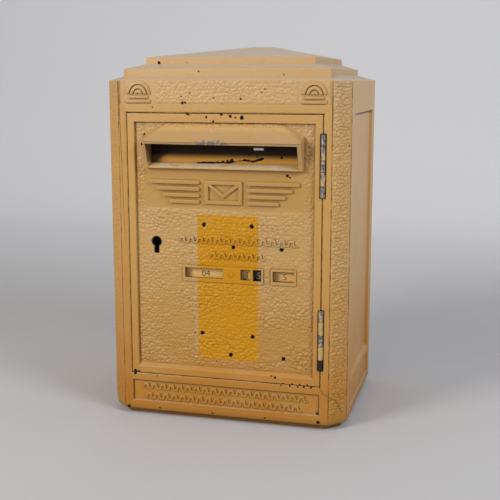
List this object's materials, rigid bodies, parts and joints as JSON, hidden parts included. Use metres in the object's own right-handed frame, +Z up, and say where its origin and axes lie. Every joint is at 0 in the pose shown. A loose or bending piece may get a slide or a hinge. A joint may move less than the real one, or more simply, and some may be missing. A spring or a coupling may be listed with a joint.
{
  "type": "mailbox",
  "caption": "Cast metal wall mailbox with a stepped roof, hinged locking front door, hooded letter slot with swinging flap and number windows",
  "frame": {"origin": "bottom centre of the whole box, on the surface that the floor plate stands on", "axes": "+Z up, +X to the right when facing the door, +Y from the door towards the wall"},
  "size_m": [0.4, 0.306, 0.6145],
  "materials": {
    "faded_yellow_paint": "old satin gloss paint, faded, chipped and dusty",
    "back_sheet": "grey primer on sheet steel",
    "zinc_steel": "dull zinc plating",
    "hinge_steel": "worn steel with remains of paint",
    "steel": "oiled steel",
    "brass": "tarnished",
    "drum_enamel": "yellowed enamel with dark figures",
    "window_glass": "clear, thin"
  },
  "bodies": {
    "body": {"body_casting": "faded_yellow_paint", "back_plate": "back_sheet", "back_screw_1": "zinc_steel", "back_screw_2": "zinc_steel", "back_screw_3": "zinc_steel", "back_screw_4": "zinc_steel", "floor_plate": "faded_yellow_paint", "floor_screw_1": "zinc_steel", "floor_screw_2": "zinc_steel", "floor_screw_3": "zinc_steel", "floor_screw_4": "zinc_steel", "strike_plate": "steel", "strike_screw_1": "zinc_steel", "strike_screw_2": "zinc_steel", "upper_hinge_body_leaf": "hinge_steel", "lower_hinge_body_leaf": "hinge_steel", "upper_hinge_pin": "hinge_steel", "lower_hinge_pin": "hinge_steel", "upper_body_leaf_screw_1": "zinc_steel", "upper_body_leaf_screw_2": "zinc_steel", "lower_body_leaf_screw_1": "zinc_steel", "lower_body_leaf_screw_2": "zinc_steel"},
    "door": {"door_casting": "faded_yellow_paint", "upper_hinge_door_leaf": "hinge_steel", "lower_hinge_door_leaf": "hinge_steel", "upper_door_leaf_screw_1": "zinc_steel", "upper_door_leaf_screw_2": "zinc_steel", "lower_door_leaf_screw_1": "zinc_steel", "lower_door_leaf_screw_2": "zinc_steel", "flap_rod": "steel", "lock_case": "steel", "lock_cover": "steel", "lock_screw_1": "zinc_steel", "lock_screw_2": "zinc_steel", "lock_screw_3": "zinc_steel", "lock_screw_4": "zinc_steel", "lever_pin": "steel", "indicator_bracket": "zinc_steel", "bracket_screw_1": "zinc_steel", "bracket_screw_2": "zinc_steel", "window_pane": "window_glass", "indicator_axle": "steel", "axle_clip_left": "steel", "axle_clip_right": "steel", "drum_spacer_left": "brass", "drum_spacer_right": "brass", "detent_comb": "steel", "comb_screw_1": "zinc_steel", "comb_screw_2": "zinc_steel"},
    "slot_flap": {"slot_flap": "faded_yellow_paint"},
    "lock_bolt": {"lock_bolt": "brass"},
    "lock_lever": {"lock_lever": "brass", "lever_spring": "steel"},
    "day_drum": {"day_drum": "drum_enamel"},
    "hour_tens_drum": {"hour_tens_drum": "drum_enamel"},
    "hour_units_drum": {"hour_units_drum": "drum_enamel"},
    "minute_drum": {"minute_drum": "drum_enamel"}
  },
  "joints": [
    {"name": "door_hinge", "type": "hinge", "parent": "body", "child": "door", "pos_m": [0.1601, -0.135, 0.28], "axis": [0, 0, 1], "range_deg": [0, 120]},
    {"name": "flap_hinge", "type": "hinge", "parent": "door", "child": "slot_flap", "pos_m": [0, -0.12, 0.465], "axis": [1, 0, 0], "range_deg": [0, 70]},
    {"name": "bolt_slide", "type": "slide", "parent": "door", "child": "lock_bolt", "axis": [-1, 0, 0], "range_m": [0, 0.0115]},
    {"name": "lever_lift", "type": "hinge", "parent": "door", "child": "lock_lever", "pos_m": [-0.097, -0.1124, 0.3165], "axis": [0, 1, 0], "range_deg": [0, 5]},
    {"name": "day_drum_turn", "type": "hinge", "parent": "door", "child": "day_drum", "pos_m": [-0.033, -0.0994, 0.2467], "axis": [1, 0, 0], "continuous": true},
    {"name": "hour_tens_drum_turn", "type": "hinge", "parent": "door", "child": "hour_tens_drum", "pos_m": [0.036, -0.0994, 0.2467], "axis": [1, 0, 0], "continuous": true},
    {"name": "hour_units_drum_turn", "type": "hinge", "parent": "door", "child": "hour_units_drum", "pos_m": [0.0555, -0.0994, 0.2467], "axis": [1, 0, 0], "continuous": true},
    {"name": "minute_drum_turn", "type": "hinge", "parent": "door", "child": "minute_drum", "pos_m": [0.0985, -0.0994, 0.2467], "axis": [1, 0, 0], "continuous": true}
  ]
}
